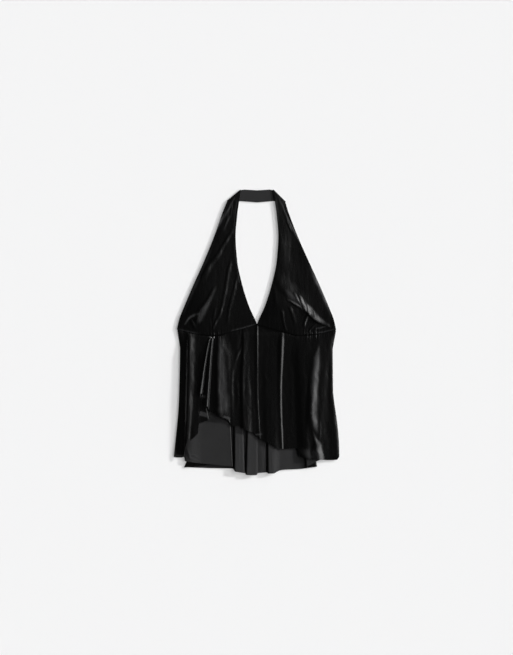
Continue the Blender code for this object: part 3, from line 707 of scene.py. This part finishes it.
def cup_surface(side, creases):
    """Points of one cup with its strap and half neckband. Each row goes from the outer edge to the
    neck edge: up the cup and the strap, round the slanting fold, and along the neckband. Across
    the cup the height is a squared sine, over a level at its edges."""
    top_row = len(CUP) - 1
    up_cup = np.concatenate([
        np.linspace(0, top_row / 2, CREASED_ROWS),
        np.linspace(top_row / 2, top_row, CUP_ROWS - CREASED_ROWS + 1)[1:],
    ])
    edge = {name: column(CUP, name, up_cup) for name in CupRow._fields}
    t = np.linspace(0, 1, CUP_WIDE)[None, :]
    up_strap = np.clip((edge["outer_y"] - STRAP_FROM) / STRAP_OVER, 0, 1)
    widen = -side * (RIGHT_EXTRA + RIGHT_STRAP_EXTRA * up_strap)

    def row_between(start, end):
        """Rows of values that go straight from the outer edge's to the neck edge's."""
        return start[:, None] * (1 - t) + end[:, None] * t

    x = row_between(edge["outer_x"] + widen, edge["inner_x"])
    y = row_between(edge["outer_y"], edge["inner_y"])
    share = (1 - up_cup[:, None] / top_row) ** 6
    y += share * (seam_y(x[:1]) + SEAM_GAP / 2 - y[:1])
    to_lit = 1 - t if side > 0 else t
    crown = CUP_CROWN * edge["crown"][:, None] * np.sin(math.pi * to_lit**0.6) ** 2
    z = EDGE_STAND + crown
    width = np.hypot(x[:, :1] - x[:, -1:], y[:, :1] - y[:, -1:])
    from_edge = width * np.minimum(t, 1 - t)
    hold = soft_step(from_edge / EDGE_TURN)
    if side > 0:
        rolled = soft_step((y[:, :1] - ROLL_FROM) / ROLL_RISE)
        rolled *= soft_step((ROLL_END - y[:, :1]) / ROLL_FALL)
        z -= EDGE_ROLL * rolled * np.exp(-width * t / ROLL_WIDTH)
    z += hold * creased(side * x, y, creases)
    from_seam = y - seam_y(x)
    z += (puckered(side * x, from_seam) + CUP_RUFFLE * RUFFLE * ruffled(side * x, y)) * hold
    z -= SEAM_SINK * np.exp(-from_seam / SINK_REACH) * hold
    rows = [np.stack([x, y, z], axis=2)]

    fold_out = FOLD.outer_x - side * RIGHT_STRAP_EXTRA / 2 + max(-side, 0) * RIGHT_EXTRA
    start = np.array([fold_out, FOLD.outer_y - max(side, 0) * LEFT_FOLD_DROP])
    end = np.array([FOLD.inner_x, FOLD.inner_y])
    outward = np.array([end[1] - start[1], start[0] - end[0]])
    outward /= np.linalg.norm(outward)
    last = rows[0][-1]
    flat_line = np.column_stack([
        start * (1 - t.T) + end * t.T, np.full(t.size, CUP_WALL / 2 + 2 * STRAP_ROLL)
    ])
    for share in np.linspace(0, 1, FOLD_ROWS)[1:-1]:
        rows.append((last * (1 - share) + flat_line * share)[None])
    for angle in np.linspace(0, math.pi, FOLD_ROWS):
        line = start * (1 - t.T) + end * t.T + outward * STRAP_ROLL * math.sin(angle)
        height = CUP_WALL / 2 + STRAP_ROLL * (1 + math.cos(angle))
        rows.append(np.column_stack([line, np.full(len(line), height)])[None])
    for share in np.linspace(0, 1, BAND_ROWS):
        out_x, out_y, in_x, in_y, _ = (a + (b - a) * share for a, b in zip(BAND_JOIN, BAND_END))
        line = np.array([out_x, out_y]) * (1 - t.T) + np.array([in_x, in_y]) * t.T
        rows.append(np.column_stack([line, np.full(len(line), CUP_WALL / 2)])[None])
    points = np.concatenate(rows)
    points[:, :, 0] *= side
    return points


def turned_share(points):
    """How far a cup's lower face reaches down to the surface, from 0 to 1: all the way at its outer
    edge and its neck edge, where the cloth is turned under, but not along the strap's fold."""
    step = np.linalg.norm(np.diff(points, axis=1), axis=2)
    run = np.concatenate([np.zeros((len(points), 1)), np.cumsum(step, axis=1)], axis=1)
    from_edge = np.minimum(run, run[:, -1:] - run)
    below_fold = soft_step((STRAP_TURN - points[:, :, 1]) / TURN_END)
    before_fold = (np.arange(len(points)) < CUP_ROWS)[:, None]
    return soft_step(1.4 - from_edge / EDGE_TURN) * below_fold * before_fold


def shell(name, points, pile_up, marks=None, turned=None):
    """A closed piece of cloth: its middle surface moved out along its normals by half the wall on
    either side, with a rim between. The attribute `pile` is 1 on the velvet face and 0 on the
    knit. pile_up says, from 0 to 1 at each point, how much of the velvet faces the side that the
    grid's normals point to, and marks holds the other attributes of both faces. The UV map is the
    grid's length across and down, in metres. Where `turned` is over 0, the lower face reaches
    down towards the surface by that share."""
    points = points * MM
    across = np.gradient(points, axis=1)
    down = np.gradient(points, axis=0)
    normal = np.cross(down, across)
    normal /= np.maximum(np.linalg.norm(normal, axis=2, keepdims=True), 1e-12)
    rows, wide = points.shape[:2]
    half = WALL * MM / 2
    under = points - normal * half
    if turned is not None:
        under[:, :, 2] -= turned * np.maximum(under[:, :, 2] - REST * MM, 0)
    places = np.concatenate([(points + normal * half).reshape(-1, 3), under.reshape(-1, 3)])
    corner = (np.arange(rows - 1)[:, None] * wide + np.arange(wide - 1)).ravel()
    upper = np.column_stack([corner, corner + wide, corner + wide + 1, corner + 1])
    count = rows * wide
    lower = upper[:, ::-1] + count
    grid = np.arange(count).reshape(rows, wide)
    loop = np.concatenate([grid[0, :-1], grid[:-1, -1], grid[-1, :0:-1], grid[:0:-1, 0]])
    after = np.roll(loop, -1)
    rim = np.column_stack([loop, after, after + count, loop + count])
    faces = np.concatenate([upper, lower, rim])
    mesh = bpy.data.meshes.new(name)
    mesh.vertices.add(len(places))
    mesh.vertices.foreach_set("co", places.ravel())
    mesh.loops.add(faces.size)
    mesh.loops.foreach_set("vertex_index", faces.ravel())
    mesh.polygons.add(len(faces))
    mesh.polygons.foreach_set("loop_start", np.arange(len(faces)) * 4)
    mesh.update(calc_edges=True)
    mesh.validate()
    pile = np.concatenate([pile_up.ravel(), 1 - pile_up.ravel()])
    mesh.attributes.new("pile", "FLOAT", "POINT").data.foreach_set("value", pile)
    for mark, share in (marks or {}).items():
        mesh.attributes.new(mark, "FLOAT", "POINT").data.foreach_set(
            "value", np.tile(share.ravel(), 2)
        )
    u = np.cumsum(np.linalg.norm(across, axis=2), axis=1)
    v = np.cumsum(np.linalg.norm(down, axis=2), axis=0)
    flat = np.stack([u, v], axis=2).reshape(-1, 2)
    uv = np.concatenate([flat, flat])[faces.ravel()]
    mesh.uv_layers.new(name="cloth").data.foreach_set("uv", uv.ravel())
    mesh.shade_smooth()
    on_edge = np.zeros(len(places), int)
    on_edge[loop], on_edge[loop + count] = 1, 2
    ends = np.empty(2 * len(mesh.edges), int)
    mesh.edges.foreach_get("vertices", ends)
    first, second = on_edge[ends.reshape(-1, 2)].T
    crisp = mesh.attributes.new("sharp_edge", "BOOLEAN", "EDGE")
    crisp.data.foreach_set("value", (first == second) & (first > 0))
    piece = bpy.data.objects.new(name, mesh)
    bpy.context.scene.collection.objects.link(piece)
    return piece


class Value:
    """A number in a material's nodes. Sums and products with it add Math nodes."""

    def __init__(self, finish, socket):
        self.finish, self.socket = finish, socket

    def combine(self, operation, first, second):
        """A Math node on two numbers or values."""
        return self.finish.node("ShaderNodeMath", {"operation": operation}, {0: first, 1: second})

    def __add__(self, other):
        return self.combine("ADD", self, other)

    __radd__ = __add__

    def __sub__(self, other):
        return self.combine("SUBTRACT", self, other)

    def __rsub__(self, other):
        return self.combine("SUBTRACT", other, self)

    def __mul__(self, other):
        return self.combine("MULTIPLY", self, other)

    __rmul__ = __mul__


class Finish:
    """The nodes of a material or a world, and the one way in which they are made."""

    def __init__(self, made):
        self.made = made
        self.made.use_nodes = True
        self.tree = self.made.node_tree
        self.tree.nodes.clear()

    def node(self, kind, settings=None, inputs=None, output=0):
        """A node of this kind: its settings first, then its sockets' values or links."""
        made = self.tree.nodes.new(kind)
        for name, value in (settings or {}).items():
            setattr(made, name, value)
        for name, value in (inputs or {}).items():
            if isinstance(value, Value):
                self.tree.links.new(value.socket, made.inputs[name])
            else:
                made.inputs[name].default_value = value
        return Value(self, made.outputs[output])

    def noise(self, where, scale, detail=2, roughness=0.5, stretch=(1, 1, 1)):
        """Noise from 0 to 1 at this many waves a metre, stretched along the axes."""
        place = self.node("ShaderNodeMapping", {}, {"Vector": where, "Scale": stretch})
        return self.node(
            "ShaderNodeTexNoise", {}, {"Vector": place, "Scale": scale, "Detail": detail,
                                       "Roughness": roughness}
        )

    def mix(self, share, first, second):
        """A colour between two, by share."""
        return self.node(
            "ShaderNodeMix", {"data_type": "RGBA"}, {0: share, 6: first, 7: second}, output=2
        )

    def bump(self, height, distance, strength=1.0, under=None):
        """A normal from a height of 0 to 1, this many metres high."""
        inputs = {"Height": height, "Distance": distance, "Strength": strength}
        if under is not None:
            inputs["Normal"] = under
        return self.node("ShaderNodeBump", {}, inputs)

    def finish(self, shader, output="ShaderNodeOutputMaterial"):
        """Join the shader to the output and return what it finishes."""
        self.tree.links.new(shader.socket, self.tree.nodes.new(output).inputs["Surface"])
        return self.made


def cloth_finish():
    """Black stretch velvet: a short deep pile on one face, a matt charcoal knit on the other, with
    painted highlights mixed into both colours from the cloth's attributes.
    """
    cloth = Finish(bpy.data.materials.new("black_stretch_velvet"))
    place = cloth.node("ShaderNodeTexCoord", output=3)
    weft = cloth.node("ShaderNodeUVMap", {"uv_map": "cloth"})

    pressed = cloth.noise(place, 26, detail=3, roughness=0.55, stretch=(1.6, 0.7, 1))
    streak = cloth.noise(place, 140, detail=2, stretch=(1, 0.18, 1))
    nap = cloth.noise(place, 1500, detail=2, roughness=0.7)
    colour = cloth.mix(pressed, (0.001, 0.001, 0.001, 1), (0.0018, 0.0018, 0.0018, 1))
    # painted highlight along the stitches of the underbust seam, where light catches them
    seam = cloth.node("ShaderNodeAttribute", {"attribute_name": "seam"}, output=2)
    colour = cloth.mix(seam * streak * 1.3, colour, (0.028, 0.028, 0.029, 1))
    # painted highlights from the strokes, mixed paler into the velvet's colour
    pale = cloth.node("ShaderNodeAttribute", {"attribute_name": "painted_highlights"}, output=2)
    colour = cloth.mix(pale * (0.5 + streak), colour, (0.052, 0.052, 0.053, 1))
    nap_lean = cloth.node("ShaderNodeAttribute", {"attribute_name": "nap_lean"}, output=2)
    relief = cloth.bump(nap_lean, 1.0)
    relief = cloth.bump(pressed, 0.0012, 0.6, relief)
    relief = cloth.bump(streak, 0.0009, 0.5, relief)
    relief = cloth.bump(nap, 0.00004, 0.4, relief)
    velvet = cloth.node(
        "ShaderNodeBsdfPrincipled",
        {},
        {
            "Base Color": colour,
            "Roughness": 0.23 + 0.1 * streak,
            "Specular IOR Level": 0.27,
            "Normal": relief,
        },
    )

    ribs = cloth.node(
        "ShaderNodeTexWave",
        {"wave_type": "BANDS", "bands_direction": "X", "wave_profile": "SIN"},
        {"Vector": weft, "Scale": 180.0, "Distortion": 1.2, "Detail": 2.0, "Detail Scale": 3.0},
    )
    fluff = cloth.noise(place, 900, detail=3, roughness=0.65)
    worn = cloth.noise(place, 34, detail=3)
    grey = cloth.mix(
        0.55 * worn + 0.45 * fluff, (0.0165, 0.0165, 0.017, 1), (0.0245, 0.0245, 0.025, 1)
    )
    # the same painted highlights make the knit paler
    grey = cloth.mix(pale, grey, (0.036, 0.036, 0.037, 1))
    loops = cloth.bump(ribs, 0.00022, 0.5)
    loops = cloth.bump(fluff, 0.00025, 0.4, loops)
    knit = cloth.node(
        "ShaderNodeBsdfPrincipled",
        {},
        {
            "Base Color": grey,
            "Roughness": 0.9,
            "Specular IOR Level": 0.08,
            "Sheen Weight": 0.05,
            "Sheen Roughness": 0.5,
            "Normal": loops,
        },
    )
    pile = cloth.node("ShaderNodeAttribute", {"attribute_name": "pile"}, output=2)
    return cloth.finish(
        cloth.node("ShaderNodeMixShader", {}, {0: pile, 1: knit, 2: velvet})
    )


def make_top():
    """The four pieces."""
    velvet = cloth_finish()

    def add(node, points, pile_up, marks=None, turned=None):
        """One piece in the place of its solid."""
        piece = shell(f"{node}_cloth", points, pile_up, marks, turned)
        piece.data.materials.append(velvet)
        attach(piece, "root")
        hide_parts(node)

    for side, node, creases, lean, lean_end in (
        (-1, "cup_right", RIGHT_CUP_CREASES, RIGHT_LEAN, 0),
        (1, "cup_left", LEFT_CUP_CREASES, LEFT_LEAN, LEFT_LEAN_END),
    ):
        points = cup_surface(side, creases)
        if side < 0:
            points = points[:, ::-1]
        x, y = points[:, :, 0], points[:, :, 1]
        from_seam = y - seam_y(x)
        # painted highlight along the seam's stitches, where light catches them, for the velvet's
        # colour
        stitches = np.exp(-(((from_seam - STITCH_LINE) / STITCH_WIDTH) ** 2))
        stitches *= from_seam < 5 * STITCH_LINE
        lit = sum(np.exp(-(((x - each.centre) / each.reach) ** 4)) for each in SEAM_LIGHTS)
        short = np.clip((lean_end - x) / LEAN_EASE, 0, None)
        leaning = np.where(short < 1, short**2 / 2, short - 0.5) * LEAN_EASE * lean * MM
        leaning *= soft_step((y - LEAN_FROM) / LEAN_OVER)
        add(node, points, np.ones_like(x), turned=turned_share(points),
            marks={"seam": stitches * lit, "nap_lean": leaning,
                   "painted_highlights": painted_highlights(x, y, CUP_STROKES)})

    steps = np.linspace(0, 1, BACK_GRID.down)
    pleats = even_places(BACK, ("yoke", "hem", "lift_hem"), BACK_GRID.across)
    back = back_surface(pleats, steps)
    # velvet shows where the pleat turns under, and a share of it blended in before the fold is
    # painted shade
    turned_and_shaded_edge = sum(t.share * soft_step((pleats - t.place) / t.over) for t in PLEAT_TURNS_AND_SHADE)
    turned_and_shaded_edge *= soft_step((PLEAT_BACK.place - pleats) / PLEAT_BACK.over)
    x, y, z = back[:, :, 0], back[:, :, 1], back[:, :, 2]
    z += creased(x, y, BACK_CREASES) * (z > RAISED)
    # painted highlights on the back's raised upper layers
    add("peplum_back", back, np.tile(turned_and_shaded_edge, (len(steps), 1)),
        marks={"painted_highlights": painted_highlights(x, y, BACK_STROKES) * (z > RAISED)})

    under = even_places(BACK, ("yoke", "hem"), MAP_GRID.across)
    drape = drape_map(back_surface(under, np.linspace(0, 1, MAP_GRID.down)))
    places = even_places(FRONT, ("middle", "hem", "lift_middle", "lift_hem"), FRONT_GRID.across)
    hem_steps = 1 - (1 - np.linspace(0, 1, FRONT_GRID.down)) ** HEM_CROWD
    front = front_surface(places, hem_steps, drape)
    # painted highlights on the front
    add("peplum_front", front, curled(front),
        marks={"painted_highlights": painted_highlights(front[:, :, 0], front[:, :, 1], FRONT_STROKES)})


def make_surroundings():
    """A pale surface, a low soft sun from the right, an even sky and a camera straight above."""
    scene = bpy.context.scene
    bpy.ops.mesh.primitive_plane_add(size=8)
    floor = bpy.context.object
    floor.name = "pale_surface"
    pale = Finish(bpy.data.materials.new("pale_surface"))
    floor.data.materials.append(pale.finish(pale.node(
        "ShaderNodeBsdfPrincipled", {},
        {"Base Color": (FLOOR_SHADE, FLOOR_SHADE, FLOOR_SHADE * 1.005, 1), "Roughness": 0.9,
         "Specular IOR Level": 0.0, "Emission Color": (1, 1, 1, 1),
         "Emission Strength": FLOOR_GLOW},
    )))

    sky = Finish(bpy.data.worlds.new("side_lit_room"))
    way = sky.node("ShaderNodeTexCoord")
    turn = math.radians(SKY_TURN)
    aside = sky.node(
        "ShaderNodeVectorMath",
        {"operation": "DOT_PRODUCT"},
        {0: way, 1: (math.cos(turn), math.sin(turn), 0)},
        output=1,
    )
    rise, fall = (
        sky.node(
            "ShaderNodeMapRange",
            {"interpolation_type": "SMOOTHSTEP"},
            {"Value": aside, "From Min": start, "From Max": end},
        )
        for start, end in (GLOW_RISE, GLOW_FALL)
    )
    glow = SKY + SIDE_GLOW * (rise - fall)
    scene.world = sky.finish(
        sky.node("ShaderNodeBackground", {}, {"Strength": glow}), "ShaderNodeOutputWorld"
    )

    sun = bpy.data.lights.new("low_sun", "SUN")
    sun.energy = SUN_STRENGTH
    sun.angle = math.radians(SUN_SIZE)
    lamp = bpy.data.objects.new("low_sun", sun)
    lamp.rotation_euler = (0, math.radians(90 - SUN_HEIGHT), math.radians(SUN_TURN))
    scene.collection.objects.link(lamp)

    lens = bpy.data.cameras.new("straight_above")
    lens.sensor_fit = "VERTICAL"
    lens.sensor_height = SENSOR
    lens.lens = SENSOR * VIEW_HEIGHT / VIEW_TALL
    camera = bpy.data.objects.new("straight_above", lens)
    camera.location = (*VIEW_CENTRE, VIEW_HEIGHT)
    scene.collection.objects.link(camera)
    scene.camera = camera
    scene.view_settings.view_transform = "Standard"


make_surroundings()
make_top()
